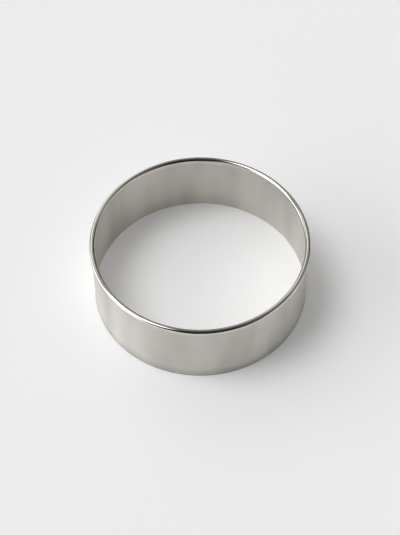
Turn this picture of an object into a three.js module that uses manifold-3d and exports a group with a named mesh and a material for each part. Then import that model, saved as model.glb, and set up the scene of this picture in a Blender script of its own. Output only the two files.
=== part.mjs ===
// A pastry ring: a strip of stainless sheet rolled round and butt welded, with its top edge curled over a wire.
// Millimetres, +Z up. The origin is the middle of the ring, on the surface that the cut edge stands on.
import * as THREE from "three";
import { mergeVertices } from "three/addons/utils/BufferGeometryUtils.js";
import Module from "manifold-3d";

// Driving sizes
const rimDiameter = 100; // over the outside of the bead
const ringHeight = 35; // from the cut edge to the top of the bead
const sheetThickness = 0.5;
const wireDiameter = 1.5;
const wireClearance = 0.05; // between the wire and the curl round it
const footFlare = 0.9; // how far the foot stands out from the wall's top, which rolling the bead draws in
const neckBend = 0.5; // inside radius of the neck, where the wall leans in to start the curl
const curlMouth = 0.2; // between the curl's edge and the neck, where the roll closes
const edgeBreak = 0.08; // chamfer on both corners of the cut edge
const weldWidth = 1.6;
const weldClearance = 0.05; // between the weld and each end of the strip
const wireEndGap = 0.6; // between the two ends of the wire

// Fineness of the round surfaces
const ringSteps = 96;
const curlSteps = 12;
const neckSteps = 3;
const wireSteps = 10;

// The bead's section: the wire's circle, then the curl's inside and outside
const curlInside = wireDiameter / 2 + wireClearance;
const curlOutside = curlInside + sheetThickness;
const beadRadius = rimDiameter / 2 - curlOutside; // from the ring's axis to the middle of the bead
const beadHeight = ringHeight - curlOutside;
const wallInside = beadRadius - sheetThickness / 2;
const wallOutside = beadRadius + sheetThickness / 2;
const footInside = wallInside + footFlare;
const footOutside = wallOutside + footFlare;

// The neck is an arc that leaves the wall upright and meets the curl's circle from outside it. Measured to the
// middle of the sheet, its centre lies one neck radius inside the wall, and one neck plus one curl from the bead.
const neckMiddle = neckBend + sheetThickness / 2;
const curlMiddle = curlInside + sheetThickness / 2;
const neckToBead = neckMiddle + curlMiddle;
const neckDrop = Math.sqrt(neckToBead ** 2 - neckMiddle ** 2);
const neckRadius = beadRadius - neckMiddle; // from the ring's axis to the neck's centre
const neckHeight = beadHeight - neckDrop;
const neckSweep = Math.atan2(neckDrop, neckMiddle);

// The curl starts where the neck meets it and runs over the top, until its outer corner is one mouth from the neck
const curlStart = neckSweep + Math.PI;
const cornerToNeck = neckBend + sheetThickness + curlMouth;
const mouthAngle = Math.acos(
  (curlOutside ** 2 + neckToBead ** 2 - cornerToNeck ** 2) / (2 * curlOutside * neckToBead),
);
const curlEnd = neckSweep - Math.PI + mouthAngle;

const wasm = await Module();
wasm.setup();

// A closed three.js geometry as a solid that can be cut
function solidOf(geometry) {
  geometry.deleteAttribute("normal");
  geometry.deleteAttribute("uv");
  const merged = mergeVertices(geometry);
  return new wasm.Manifold(
    new wasm.Mesh({
      numProp: 3,
      vertProperties: merged.attributes.position.array,
      triVerts: new Uint32Array(merged.index.array),
    }),
  );
}

// A solid as a named mesh with its own material
function meshOf(name, solid, finish) {
  const { vertProperties, triVerts } = solid.getMesh();
  const geometry = new THREE.BufferGeometry();
  geometry.setAttribute("position", new THREE.BufferAttribute(vertProperties, 3));
  geometry.setIndex(new THREE.BufferAttribute(triVerts, 1));
  geometry.computeVertexNormals();
  const mesh = new THREE.Mesh(geometry, new THREE.MeshStandardMaterial(finish));
  mesh.name = name;
  return mesh;
}

// Points along an arc of a section: x is the distance from the ring's axis and y the height
function arc(x, y, radius, from, to, steps) {
  return new THREE.ArcCurve(x, y, radius, from, to, to < from).getPoints(steps);
}

// A closed section turned once round the ring's axis
function revolve(section) {
  const geometry = new THREE.LatheGeometry([...section, section[0]], ringSteps);
  geometry.rotateX(Math.PI / 2);
  return solidOf(geometry);
}

// An upright slab across the ring's section on one side of the axis: side is 1 towards +X and -1 towards -X
function slab(width, side) {
  const geometry = new THREE.BoxGeometry(rimDiameter, width, 2 * ringHeight);
  geometry.translate((side * rimDiameter) / 2, 0, ringHeight / 2);
  return solidOf(geometry);
}

// The sheet's section: up the outside of the wall and neck, round the inside of the curl to its edge, back over the
// outside of the curl, then down the inside of the neck and wall to the cut edge
function sheetSection() {
  const outerNeck = arc(neckRadius, neckHeight, neckBend + sheetThickness, 0, neckSweep, neckSteps);
  const innerCurl = arc(beadRadius, beadHeight, curlInside, curlStart, curlEnd, curlSteps);
  const outerCurl = arc(beadRadius, beadHeight, curlOutside, curlEnd, curlStart, curlSteps);
  const innerNeck = arc(neckRadius, neckHeight, neckBend, neckSweep, 0, neckSteps);
  return [
    new THREE.Vector2(footOutside - edgeBreak, 0),
    new THREE.Vector2(footOutside, edgeBreak),
    ...outerNeck,
    ...innerCurl.slice(1),
    ...outerCurl,
    ...innerNeck.slice(1),
    new THREE.Vector2(footInside, edgeBreak),
    new THREE.Vector2(footInside + edgeBreak, 0),
  ];
}

// The strip and its weld are one turned section, parted at +X: the weld keeps the middle of the slot between the ends
const wholeSheet = revolve(sheetSection());
const ringBand = wholeSheet.subtract(slab(weldWidth + 2 * weldClearance, 1));
const seamWeld = wholeSheet.intersect(slab(weldWidth, 1));

// The wire lies in the curl, with its ends opposite the weld
const wireSection = arc(beadRadius, beadHeight, wireDiameter / 2, 0, 2 * Math.PI, wireSteps).slice(1);
const rimWire = revolve(wireSection).subtract(slab(wireEndGap, -1));

const pastryRing = new THREE.Group();
pastryRing.name = "pastry_ring";
pastryRing.add(
  meshOf("ring_band", ringBand, { color: 0xbdbab4, roughness: 0.34, metalness: 1 }),
  meshOf("seam_weld", seamWeld, { color: 0xb3afa8, roughness: 0.4, metalness: 1 }),
  meshOf("rim_wire", rimWire, { color: 0xc4c3c0, roughness: 0.25, metalness: 1 }),
);

export default pastryRing;
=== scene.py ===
import math
import bpy
import numpy as np
from mathutils import Matrix, Vector


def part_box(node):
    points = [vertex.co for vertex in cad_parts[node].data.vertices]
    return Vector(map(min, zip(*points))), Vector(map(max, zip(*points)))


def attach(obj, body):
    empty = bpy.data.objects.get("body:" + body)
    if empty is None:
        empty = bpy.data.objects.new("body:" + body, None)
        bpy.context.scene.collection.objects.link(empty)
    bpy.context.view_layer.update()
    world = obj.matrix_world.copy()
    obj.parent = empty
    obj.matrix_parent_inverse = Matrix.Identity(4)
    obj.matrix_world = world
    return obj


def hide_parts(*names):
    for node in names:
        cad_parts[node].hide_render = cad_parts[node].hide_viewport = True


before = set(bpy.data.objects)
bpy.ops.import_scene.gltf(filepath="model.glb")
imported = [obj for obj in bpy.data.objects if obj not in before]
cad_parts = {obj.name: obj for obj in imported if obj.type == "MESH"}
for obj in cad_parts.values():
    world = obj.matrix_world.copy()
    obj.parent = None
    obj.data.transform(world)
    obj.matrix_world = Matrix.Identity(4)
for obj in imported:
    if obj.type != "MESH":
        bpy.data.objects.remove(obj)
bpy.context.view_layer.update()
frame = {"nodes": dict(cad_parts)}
print("frame:", ", ".join(frame["nodes"]))

# Sizes of the ring in metres: the overall ones come from the frame
bandLow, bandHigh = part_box("ring_band")
weldLow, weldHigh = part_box("seam_weld")
ring = {
    "rimRadius": (bandHigh.y - bandLow.y) / 2,
    "height": bandHigh.z,
    "sheet": 0.0005,
    "flare": 0.0009,  # how far the foot stands out from the wall's top
    "wire": 0.0015,  # diameter
    "wireClearance": 0.00005,
    "neckBend": 0.0005,  # inside radius, where the wall leans in under the curl
    "mouth": 0.0002,  # between the curl's edge and the neck
    "cutEdge": 0.00008,  # radius of the broken corners at the foot
    "sharpAngle": 40,  # degrees: an edge that turns more than this stays sharp
}
ring["curlIn"] = ring["wire"] / 2 + ring["wireClearance"]
ring["curlOut"] = ring["curlIn"] + ring["sheet"]
ring["beadRadius"] = ring["rimRadius"] - ring["curlOut"]
ring["beadHeight"] = ring["height"] - ring["curlOut"]


# An arc: centre plus radius times (cos, sin) of an even run of angles
def arcPoints(centre, radius, start, end, steps):
    angle = np.linspace(start, end, steps + 1)
    return np.stack([centre[0] + radius * np.cos(angle), centre[1] + radius * np.sin(angle)], axis=1)


# A straight stretch whose points crowd towards both ends: the share is (1 - cos t) / 2 for an even run of t
def linePoints(start, end, steps):
    share = (1 - np.cos(np.linspace(0, math.pi, steps + 1))[:, None]) / 2
    return np.asarray(start) * (1 - share) + np.asarray(end) * share


# A closed section carried round the ring's axis: the point at angle a is (r cos a, r sin a, z), with r and z
# from the section and r moved by the wave, if there is one. Both ends are capped. In the UV map u counts
# metres round the bead and v metres along the section.
def turnedPiece(name, section, angles, wave=None):
    count, rounds = len(section), len(angles)
    r = np.tile(section[:, 0], (rounds, 1))
    z = np.tile(section[:, 1], (rounds, 1))
    if wave is not None:
        r = r + wave(angles[:, None], z)
    verts = np.stack([r * np.cos(angles)[:, None], r * np.sin(angles)[:, None], z], axis=2)
    i = np.arange(rounds - 1)[:, None]
    j = np.arange(count)[None, :]
    after = (j + 1) % count
    quads = np.stack([i * count + j, (i + 1) * count + j, (i + 1) * count + after, i * count + after], axis=2)
    firstCap = list(range(count))
    lastCap = list(range(rounds * count - 1, (rounds - 1) * count - 1, -1))
    step = np.linalg.norm(np.roll(section, -1, axis=0) - section, axis=1)
    along = np.concatenate([[0.0], np.cumsum(step)])
    around = angles * ring["beadRadius"]
    cornerU = np.stack([around[i], around[i + 1], around[i + 1], around[i]], axis=2)
    cornerV = np.stack([along[j], along[j], along[j + 1], along[j + 1]], axis=2)
    cornerUv = np.stack(np.broadcast_arrays(cornerU, cornerV), axis=3).reshape(-1, 2)
    uv = np.concatenate([cornerUv, section, section[::-1]])
    mesh = bpy.data.meshes.new(name)
    mesh.from_pydata(verts.reshape(-1, 3).tolist(), [], quads.reshape(-1, 4).tolist() + [firstCap, lastCap])
    mesh.uv_layers.new(name="ringUv").data.foreach_set("uv", uv.astype(np.float32).ravel())
    mesh.shade_smooth()
    mesh.set_sharp_from_angle(angle=math.radians(ring["sharpAngle"]))
    piece = bpy.data.objects.new(name, mesh)
    bpy.context.collection.objects.link(piece)
    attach(piece, "root")
    print("piece:", name, len(mesh.polygons), "faces")
    return piece


# Steps along each run of the sheet's section, and round the ring
sheetSteps = {"wall": 30, "neck": 8, "curlIn": 24, "curlOut": 48, "cutEdge": 4, "band": 360, "weld": 8}


# The sheet's section, anticlockwise: up the outside of the wall and neck, round the inside of the curl to its
# edge, back over the outside of the curl, down the inside of the neck and wall, and round the cut edge
def sheetSection():
    sheet, bend, lip = ring["sheet"], ring["neckBend"], ring["cutEdge"]
    bead = (ring["beadRadius"], ring["beadHeight"])
    neckMid = bend + sheet / 2
    reach = neckMid + ring["curlIn"] + sheet / 2  # from the neck's centre to the bead's
    drop = math.sqrt(reach ** 2 - neckMid ** 2)
    neck = (bead[0] - neckMid, bead[1] - drop)
    sweep = math.atan2(drop, neckMid)
    corner = bend + sheet + ring["mouth"]
    cosMouth = (ring["curlOut"] ** 2 + reach ** 2 - corner ** 2) / (2 * ring["curlOut"] * reach)
    curlEnd = sweep - math.pi + math.acos(cosMouth)
    curlStart = sweep + math.pi
    inside, outside = bead[0] - sheet / 2, bead[0] + sheet / 2
    footIn, footOut = inside + ring["flare"], outside + ring["flare"]
    runs = [
        linePoints((footOut, lip), (outside, neck[1]), sheetSteps["wall"]),
        arcPoints(neck, bend + sheet, 0, sweep, sheetSteps["neck"])[1:],
        arcPoints(bead, ring["curlIn"], curlStart, curlEnd, sheetSteps["curlIn"])[1:],
        arcPoints(bead, ring["curlOut"], curlEnd, curlStart, sheetSteps["curlOut"]),
        arcPoints(neck, bend, sweep, 0, sheetSteps["neck"])[1:],
        linePoints((inside, neck[1]), (footIn, lip), sheetSteps["wall"])[1:],
        arcPoints((footIn + lip, lip), lip, math.pi, 1.5 * math.pi, sheetSteps["cutEdge"])[1:],
        arcPoints((footOut - lip, lip), lip, -0.5 * math.pi, 0, sheetSteps["cutEdge"])[:-1],
    ]
    return np.concatenate(runs)


# Slight unevenness of a rolled wall: slow sine waves round the ring, which fade out below the bead, and a
# free foot that is a hair longer from front to back than across, by minus oval times cos 2a
wallWave = {
    "top": ring["beadHeight"] - 2 * ring["curlOut"],  # the wall is even above this height
    "height": 0.00002,
    "lobes": (5, 9, 14),  # waves round the ring
    "phases": (0.4, 2.1, 4.4),
    "fade": 0.01,  # how far below the top the waves reach their full height
    "oval": 0.00008,
}


def rolledWave(angle, z):
    top = wallWave["top"]
    fade = np.clip((top - z) / wallWave["fade"], 0, 1)
    lobes = zip(wallWave["lobes"], wallWave["phases"])
    waves = wallWave["height"] * fade * sum(np.sin(lobe * angle + phase) for lobe, phase in lobes)
    return waves - wallWave["oval"] * np.clip(1 - z / top, 0, 1) * np.cos(2 * angle)


# Steel band, from one side of the weld round to the other
section = sheetSection()
weldHalf = math.asin((weldHigh.y - weldLow.y) / 2 / ring["rimRadius"])
bandAngles = np.linspace(weldHalf, 2 * math.pi - weldHalf, sheetSteps["band"] + 1)
band = turnedPiece("steelBand", section, bandAngles, rolledWave)
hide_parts("ring_band")

# Butt weld, ground flush, which fills the slot
weldAngles = np.linspace(-weldHalf, weldHalf, sheetSteps["weld"] + 1)
weld = turnedPiece("buttWeld", section, weldAngles, rolledWave)
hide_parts("seam_weld")

# Wire in the curl, with its ends opposite the weld
hoop = {"endGap": 0.0006, "sides": 20, "steps": 240}
hoopEnd = math.pi - hoop["endGap"] / 2 / ring["beadRadius"]
beadMiddle = (ring["beadRadius"], ring["beadHeight"])
wireCircle = arcPoints(beadMiddle, ring["wire"] / 2, 0, 2 * math.pi, hoop["sides"])[:-1]
wire = turnedPiece("wireHoop", wireCircle, np.linspace(-hoopEnd, hoopEnd, hoop["steps"] + 1))
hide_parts("rim_wire")


# Adds a node, sets its properties and the values of its sockets
def addNode(tree, kind, values=None, **properties):
    node = tree.nodes.new(kind)
    for name, value in properties.items():
        setattr(node, name, value)
    for name, value in (values or {}).items():
        node.inputs[name].default_value = value
    return node


# A run of one value to another: between start and end it goes from low to high, as a smooth step or in a
# straight line, and it stays level outside them
def valueRamp(tree, source, start, end, low, high, shape="SMOOTHSTEP"):
    levels = {"From Min": start, "From Max": end, "To Min": low, "To Max": high}
    ramp = addNode(tree, "ShaderNodeMapRange", levels, interpolation_type=shape)
    tree.links.new(source, ramp.inputs["Value"])
    return ramp.outputs["Result"]


# A new node group with named sockets: inputs are (name, type, default) and outputs are names of values
def addGroup(name, inputs, outputs):
    group = bpy.data.node_groups.new(name, "ShaderNodeTree")
    for label, kind, default in inputs:
        socket = group.interface.new_socket(label, in_out="INPUT", socket_type=kind)
        if default is not None:
            socket.default_value = default
    for label in outputs:
        group.interface.new_socket(label, in_out="OUTPUT", socket_type="NodeSocketFloat")
    return group, group.nodes.new("NodeGroupInput"), group.nodes.new("NodeGroupOutput")


# What the noises share: how their middle range is spread out to 0 to 1, and the look of streaks and clouds
noiseLook = {
    "spread": {"From Min": 0.3, "From Max": 0.7},
    "streak": {"Scale": 0.11, "Detail": 4.0},  # about nine times as coarse as the grain
    "cloud": {"Scale": 1.0, "Detail": 2.0},
}


# Lines along u: noise stretched to a length and a width in metres, fine for the grain and coarse for streaks
def makeGrainGroup():
    sockets = [("Place", "NodeSocketVector", None), ("Length", "NodeSocketFloat", 0.02),
               ("Width", "NodeSocketFloat", 0.00012), ("Detail", "NodeSocketFloat", 3.0)]
    group, given, made = addGroup("rollGrain", sockets, ["Grain", "Streak"])
    size = addNode(group, "ShaderNodeCombineXYZ", {"Z": 1.0})
    ratio = addNode(group, "ShaderNodeVectorMath", operation="DIVIDE")
    fine = addNode(group, "ShaderNodeTexNoise", {"Scale": 1.0}, noise_dimensions="2D")
    wide = addNode(group, "ShaderNodeTexNoise", noiseLook["streak"], noise_dimensions="2D")
    fineSpread = addNode(group, "ShaderNodeMapRange", noiseLook["spread"])
    wideSpread = addNode(group, "ShaderNodeMapRange", noiseLook["spread"])
    group.links.new(given.outputs["Length"], size.inputs["X"])
    group.links.new(given.outputs["Width"], size.inputs["Y"])
    group.links.new(given.outputs["Place"], ratio.inputs[0])
    group.links.new(given.outputs["Detail"], fine.inputs["Detail"])
    group.links.new(size.outputs["Vector"], ratio.inputs[1])
    group.links.new(ratio.outputs["Vector"], fine.inputs["Vector"])
    group.links.new(ratio.outputs["Vector"], wide.inputs["Vector"])
    group.links.new(fine.outputs["Fac"], fineSpread.inputs["Value"])
    group.links.new(wide.outputs["Fac"], wideSpread.inputs["Value"])
    group.links.new(fineSpread.outputs["Result"], made.inputs["Grain"])
    group.links.new(wideSpread.outputs["Result"], made.inputs["Streak"])
    return group


# Cloudy change of tone, 0 to 1: noise of one size in metres with its middle range spread out
def makeCloudGroup():
    sockets = [("Place", "NodeSocketVector", None), ("Size", "NodeSocketFloat", 0.02)]
    group, given, made = addGroup("cloudTone", sockets, ["Cloud"])
    ratio = addNode(group, "ShaderNodeVectorMath", operation="DIVIDE")
    noise = addNode(group, "ShaderNodeTexNoise", noiseLook["cloud"])
    spread = addNode(group, "ShaderNodeMapRange", noiseLook["spread"])
    group.links.new(given.outputs["Place"], ratio.inputs[0])
    group.links.new(given.outputs["Size"], ratio.inputs[1])
    group.links.new(ratio.outputs["Vector"], noise.inputs["Vector"])
    group.links.new(noise.outputs["Fac"], spread.inputs["Value"])
    group.links.new(spread.outputs["Result"], made.inputs["Cloud"])
    return group


grainGroup = makeGrainGroup()
cloudGroup = makeCloudGroup()
print("groups:", grainGroup.name, cloudGroup.name)


# Satin sheet with a polished bead: grain round the ring, soft clouds, upright bands, painted shade on the
# foot outside, and a gloss that grows over the neck
sheetFinish = {
    "dark": (0.532, 0.512, 0.469),
    "light": (0.735, 0.707, 0.648),
    "roughness": (0.32, 0.38),  # wall, between its clearest and dullest clouds
    "beadRoughness": (0.06, 0.09),
    "anisotropy": 0.86,
    "grainTurn": 0.25,  # of a full turn: the grain runs round, so gloss spreads upright
    "bandWidth": 0.015,  # upright bands of tone from the rolls
    "bandShift": 0.274,  # and where they start round the ring
    "bandShare": 0.68,  # of the bands in the blotches
    "bandLength": 0.08,
    "bandDetail": 1.0,
    "cloudSize": 0.018,
    "streakShare": 0.4,  # of the streaks in the clouds
    "grainLength": 0.02,
    "grainWidth": 0.00012,
    "bump": 0.06,
    "bumpDepth": 0.00002,
    "beadGrain": 0.2,  # share of the grain that is left on the polished bead
    "footShade": (0.006, 0.78),  # height of the painted shade on the outer foot, standing in for the shadowed floor close by, and its tone at the very edge
    "footEdgeShade": (0.0009, 0.75),  # the same for a thin line of painted contact shade at the very foot
    "polishFrom": ring["beadHeight"] - 2.2 * ring["curlOut"],  # heights between which the polish grows
    "polishTo": ring["beadHeight"] - ring["curlOut"],
}


def makeSheetSteel(name, finish):
    material = bpy.data.materials.new(name)
    material.use_nodes = True
    tree = material.node_tree
    link = tree.links.new
    shader = tree.nodes["Principled BSDF"]
    shader.inputs["Metallic"].default_value = 1
    shader.inputs["Anisotropic"].default_value = finish["anisotropy"]
    shader.inputs["Anisotropic Rotation"].default_value = finish["grainTurn"]
    place = addNode(tree, "ShaderNodeUVMap", uv_map="ringUv")
    tangent = addNode(tree, "ShaderNodeTangent", direction_type="UV_MAP", uv_map="ringUv")
    coords = addNode(tree, "ShaderNodeTexCoord")
    grain = addNode(tree, "ShaderNodeGroup", node_tree=grainGroup)
    grain.inputs["Length"].default_value = finish["grainLength"]
    grain.inputs["Width"].default_value = finish["grainWidth"]
    bands = addNode(tree, "ShaderNodeGroup", node_tree=grainGroup)
    bands.inputs["Length"].default_value = finish["bandWidth"]
    bands.inputs["Width"].default_value = finish["bandLength"]
    bands.inputs["Detail"].default_value = finish["bandDetail"]
    cloud = addNode(tree, "ShaderNodeGroup", node_tree=cloudGroup)
    cloud.inputs["Size"].default_value = finish["cloudSize"]
    link(place.outputs["UV"], grain.inputs["Place"])
    shift = addNode(tree, "ShaderNodeMapping")
    shift.inputs["Location"].default_value = (finish["bandShift"], 0, 0)
    link(place.outputs["UV"], shift.inputs["Vector"])
    link(shift.outputs["Vector"], bands.inputs["Place"])
    link(coords.outputs["Object"], cloud.inputs["Place"])
    link(tangent.outputs["Tangent"], shader.inputs["Tangent"])

    # Clouds with streaks in them
    patch = addNode(tree, "ShaderNodeMix", {"Factor": finish["streakShare"]}, data_type="FLOAT")
    link(cloud.outputs["Cloud"], patch.inputs["A"])
    link(grain.outputs["Streak"], patch.inputs["B"])
    blotch = addNode(tree, "ShaderNodeMix", data_type="FLOAT")  # and the upright bands
    blotch.inputs["Factor"].default_value = finish["bandShare"]
    link(patch.outputs["Result"], blotch.inputs["A"])
    link(bands.outputs["Grain"], blotch.inputs["B"])
    tone = addNode(tree, "ShaderNodeMix", data_type="RGBA")
    tone.inputs["A"].default_value = (*finish["dark"], 1)
    tone.inputs["B"].default_value = (*finish["light"], 1)
    link(blotch.outputs["Result"], tone.inputs["Factor"])
    along = addNode(tree, "ShaderNodeSeparateXYZ")  # v starts from the outer foot
    link(place.outputs["UV"], along.inputs["Vector"])
    # Painted shade: the outer foot is darkened, a broad band and a thin line, where the floor close by lies
    # in shadow
    for reach, low in (finish["footShade"], finish["footEdgeShade"]):
        foot = valueRamp(tree, along.outputs["Y"], 0.0, reach, low, 1.0)
        darker = addNode(tree, "ShaderNodeMix", {"Factor": 1.0}, data_type="RGBA", blend_type="MULTIPLY")
        link(tone.outputs["Result"], darker.inputs["A"])
        link(foot, darker.inputs["B"])
        tone = darker
    link(tone.outputs["Result"], shader.inputs["Base Color"])

    height = addNode(tree, "ShaderNodeSeparateXYZ")
    link(coords.outputs["Object"], height.inputs["Vector"])
    polish = valueRamp(tree, height.outputs["Z"], finish["polishFrom"], finish["polishTo"], 0.0, 1.0)
    gloss = addNode(tree, "ShaderNodeMix", data_type="FLOAT")  # from the wall's roughness to the bead's
    link(polish, gloss.inputs["Factor"])
    for end, levels in (("A", finish["roughness"]), ("B", finish["beadRoughness"])):
        dullness = valueRamp(tree, blotch.outputs["Result"], 0.0, 1.0, *levels, shape="LINEAR")
        link(dullness, gloss.inputs[end])
    link(gloss.outputs["Result"], shader.inputs["Roughness"])

    depth = valueRamp(tree, polish, 0.0, 1.0, 1.0, finish["beadGrain"], shape="LINEAR")
    relief = addNode(tree, "ShaderNodeMath", operation="MULTIPLY")
    link(grain.outputs["Grain"], relief.inputs[0])
    link(depth, relief.inputs[1])
    bump = addNode(tree, "ShaderNodeBump", {"Strength": finish["bump"], "Distance": finish["bumpDepth"]})
    link(relief.outputs["Value"], bump.inputs["Height"])
    link(bump.outputs["Normal"], shader.inputs["Normal"])
    return material


sheetSteel = makeSheetSteel("satinSheet", sheetFinish)
band.data.materials.append(sheetSteel)

# The weld is ground and brushed with the sheet, a little darker and duller than it
weldFinish = dict(
    sheetFinish,
    dark=(0.545, 0.527, 0.487),
    light=(0.640, 0.622, 0.582),
    roughness=(0.35, 0.42),
)
weld.data.materials.append(makeSheetSteel("groundWeld", weldFinish))

# The wire is drawn, so its lines run along it as the grain does
wireFinish = dict(
    sheetFinish,
    dark=(0.58, 0.57, 0.55),
    light=(0.66, 0.65, 0.63),
    beadRoughness=(0.2, 0.3),
)
wire.data.materials.append(makeSheetSteel("drawnWire", wireFinish))
print("materials:", ", ".join(p.data.materials[0].name for p in (band, weld, wire)))

# Studio: a pale floor in a room that is dark in front and lighter at the back, with round soft patches of
# light, each laid over the ones before it. Angles are degrees, azimuth from +X towards +Y.
studio = {
    "floorHalf": 3.0,
    "floorTone": (0.902, 0.891, 0.878),
    "floorRoughness": 0.9,
    "floorGloss": 0.1,
    "floorPaintedLight": (0.262, 0.188),  # painted light: the floor's own glow inside the ring, stronger there to lift the shade, and far from it
    "floorReach": (0.03, 0.052),  # where that glow starts and stops to fade
    "patches": [
        {"azimuth": 118, "elevation": 38, "radius": 16, "edge": 8, "light": 1.3},  # pale panel at the back
        {"azimuth": 350, "elevation": 3, "radius": 26, "edge": 7, "light": 0.65},  # pale panel at the right
        {"azimuth": 42, "elevation": 12, "radius": 19, "edge": 6, "light": 0.01},  # dark corner between them
        {"azimuth": 185, "elevation": 0, "radius": 39, "edge": 7, "light": 1.8},  # pale wall at the left
        {"azimuth": 186, "elevation": 4, "radius": 32, "edge": 12, "light": 2.7},  # its bright middle
        {"azimuth": 238, "elevation": -5, "radius": 18, "edge": 8, "light": 1.7},  # and its low end in front
        {"azimuth": 177, "elevation": 64, "radius": 15, "edge": 5, "light": 5.0},  # window
    ],
    "leftTint": (0.97, 0.99, 1.03),  # the light from the left is a little cooler
    "leftEdge": (-0.6, -0.1),  # and that fades out over these, x of the direction
    "frontLight": 0.02,
    "frontEdge": (-0.9, -0.6),  # from the front to the sides, y of the bearing
    "sideLight": 0.14,
    "backEdge": (0.0, 0.8),  # and from the sides to the back
    "backLight": 0.41,
    "zenithEdge": (0.8, 0.97),  # z of the direction
    "zenithLight": 0.08,
    "horizonEdge": (0.02, 0.1),
    "horizonLight": 0.1,
}


# Unit vector at an azimuth and an elevation in degrees
def towards(azimuth, elevation):
    a, e = math.radians(azimuth), math.radians(elevation)
    return Vector((math.cos(a) * math.cos(e), math.sin(a) * math.cos(e), math.sin(e)))


# The floor: a plain matt sheet with a little glow of painted light, a smooth step of the distance from the
# ring's middle that is brighter inside the ring to lift its shade, which only the camera and reflections see
def makeFloor():
    half = studio["floorHalf"]
    mesh = bpy.data.meshes.new("floor")
    corners = [(-half, -half, 0), (half, -half, 0), (half, half, 0), (-half, half, 0)]
    mesh.from_pydata(corners, [], [(0, 1, 2, 3)])
    floor = bpy.data.objects.new("floor", mesh)
    bpy.context.collection.objects.link(floor)
    paint = bpy.data.materials.new("paleFloor")
    paint.use_nodes = True
    tree = paint.node_tree
    shader = tree.nodes["Principled BSDF"]
    shader.inputs["Base Color"].default_value = (*studio["floorTone"], 1)
    shader.inputs["Roughness"].default_value = studio["floorRoughness"]
    shader.inputs["Specular IOR Level"].default_value = studio["floorGloss"]
    shader.inputs["Emission Color"].default_value = (1, 1, 1, 1)
    coords = addNode(tree, "ShaderNodeTexCoord")
    away = addNode(tree, "ShaderNodeVectorMath", operation="LENGTH")
    tree.links.new(coords.outputs["Object"], away.inputs[0])
    # Painted light: the floor's glow, stronger inside the ring, lifts the shade there
    lit = valueRamp(tree, away.outputs["Value"], *studio["floorReach"], *studio["floorPaintedLight"])
    rays = addNode(tree, "ShaderNodeLightPath")
    seen = rays.outputs["Is Camera Ray"]
    for kind in ("Is Glossy Ray", "Is Transmission Ray"):
        both = addNode(tree, "ShaderNodeMath", operation="MAXIMUM")
        tree.links.new(seen, both.inputs[0])
        tree.links.new(rays.outputs[kind], both.inputs[1])
        seen = both.outputs["Value"]
    glow = addNode(tree, "ShaderNodeMath", operation="MULTIPLY")
    tree.links.new(lit, glow.inputs[0])
    tree.links.new(seen, glow.inputs[1])
    tree.links.new(glow.outputs["Value"], shader.inputs["Emission Strength"])
    mesh.materials.append(paint)


# Mixes two light levels, each a number or a socket, by a factor
def lightMix(tree, factor, a, b):
    mix = addNode(tree, "ShaderNodeMix", data_type="FLOAT")
    tree.links.new(factor, mix.inputs["Factor"])
    for name, value in (("A", a), ("B", b)):
        if isinstance(value, (int, float)):
            mix.inputs[name].default_value = value
        else:
            tree.links.new(value, mix.inputs[name])
    return mix.outputs["Result"]


# The share of a round soft patch of light: a smooth step of the cosine of the angle to its middle
def lightPatch(tree, direction, patch):
    facing = addNode(tree, "ShaderNodeVectorMath", operation="DOT_PRODUCT")
    facing.inputs[1].default_value = towards(patch["azimuth"], patch["elevation"])
    tree.links.new(direction, facing.inputs[0])
    outer = math.cos(math.radians(patch["radius"] + patch["edge"]))
    inner = math.cos(math.radians(patch["radius"] - patch["edge"]))
    return valueRamp(tree, facing.outputs["Value"], outer, inner, 0.0, 1.0)


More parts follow.
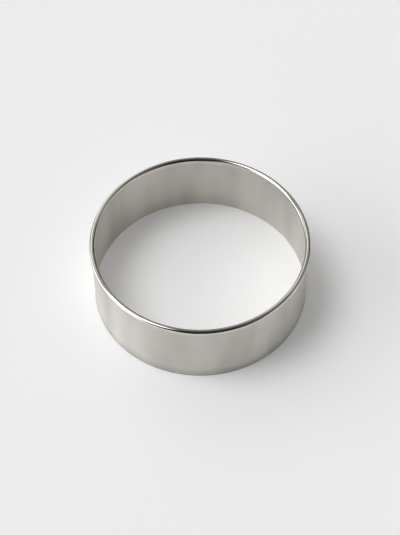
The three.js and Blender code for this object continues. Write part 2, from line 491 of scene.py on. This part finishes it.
# Light from every direction: by bearing from a dark front past the sides to the back, where the bearing is
# the direction without its height, then the zenith, the horizon and the soft patches in their order, all
# times a tint that is cooler at the left
def makeWorld():
    world = bpy.data.worlds.new("softRoom")
    bpy.context.scene.world = world
    world.use_nodes = True
    tree = world.node_tree
    coords = addNode(tree, "ShaderNodeTexCoord")
    split = addNode(tree, "ShaderNodeSeparateXYZ")
    tree.links.new(coords.outputs["Generated"], split.inputs["Vector"])
    level = addNode(tree, "ShaderNodeVectorMath", operation="MULTIPLY")
    level.inputs[1].default_value = (1, 1, 0)
    tree.links.new(coords.outputs["Generated"], level.inputs[0])
    heading = addNode(tree, "ShaderNodeVectorMath", operation="NORMALIZE")
    tree.links.new(level.outputs["Vector"], heading.inputs[0])
    bearing = addNode(tree, "ShaderNodeSeparateXYZ")
    tree.links.new(heading.outputs["Vector"], bearing.inputs["Vector"])
    front, side = studio["frontLight"], studio["sideLight"]
    room = valueRamp(tree, bearing.outputs["Y"], *studio["frontEdge"], front, side)
    back = valueRamp(tree, bearing.outputs["Y"], *studio["backEdge"], 0.0, 1.0)
    room = lightMix(tree, back, room, studio["backLight"])
    high = valueRamp(tree, split.outputs["Z"], *studio["zenithEdge"], 0.0, 1.0)
    room = lightMix(tree, high, room, studio["zenithLight"])
    low = valueRamp(tree, split.outputs["Z"], *studio["horizonEdge"], 1.0, 0.0)
    room = lightMix(tree, low, room, studio["horizonLight"])
    for patch in studio["patches"]:
        share = lightPatch(tree, coords.outputs["Generated"], patch)
        room = lightMix(tree, share, room, patch["light"])
    left = valueRamp(tree, split.outputs["X"], *studio["leftEdge"], 1.0, 0.0)
    tint = addNode(tree, "ShaderNodeMix", data_type="RGBA")
    tint.inputs["A"].default_value = (1, 1, 1, 1)
    tint.inputs["B"].default_value = (*studio["leftTint"], 1)
    tree.links.new(left, tint.inputs["Factor"])
    shade = addNode(tree, "ShaderNodeVectorMath", operation="SCALE")
    tree.links.new(tint.outputs["Result"], shade.inputs[0])
    tree.links.new(room, shade.inputs["Scale"])
    tree.links.new(shade.outputs["Vector"], tree.nodes["Background"].inputs["Color"])


makeFloor()
makeWorld()
print("studio ready")

# Camera at the photograph's angle, for a picture of 400 by 535
shot = {
    "place": (0.0, -0.3409, 0.4841),
    "target": (-0.0001, 0.0, 0.0140),
    "roll": -0.58,  # degrees
    "lens": 84.3,  # millimetres, as the sensor is
    "sensor": 36.0,
}


def makeCamera():
    data = bpy.data.cameras.new("photoCamera")
    data.lens = shot["lens"]
    data.sensor_width = shot["sensor"]
    camera = bpy.data.objects.new("photoCamera", data)
    look = Vector(shot["target"]) - Vector(shot["place"])
    turn = look.to_track_quat("-Z", "Y").to_matrix() @ Matrix.Rotation(math.radians(shot["roll"]), 3, "Z")
    camera.matrix_world = Matrix.Translation(Vector(shot["place"])) @ turn.to_4x4()
    bpy.context.collection.objects.link(camera)
    bpy.context.scene.camera = camera


makeCamera()
bpy.context.scene.view_settings.view_transform = "Standard"
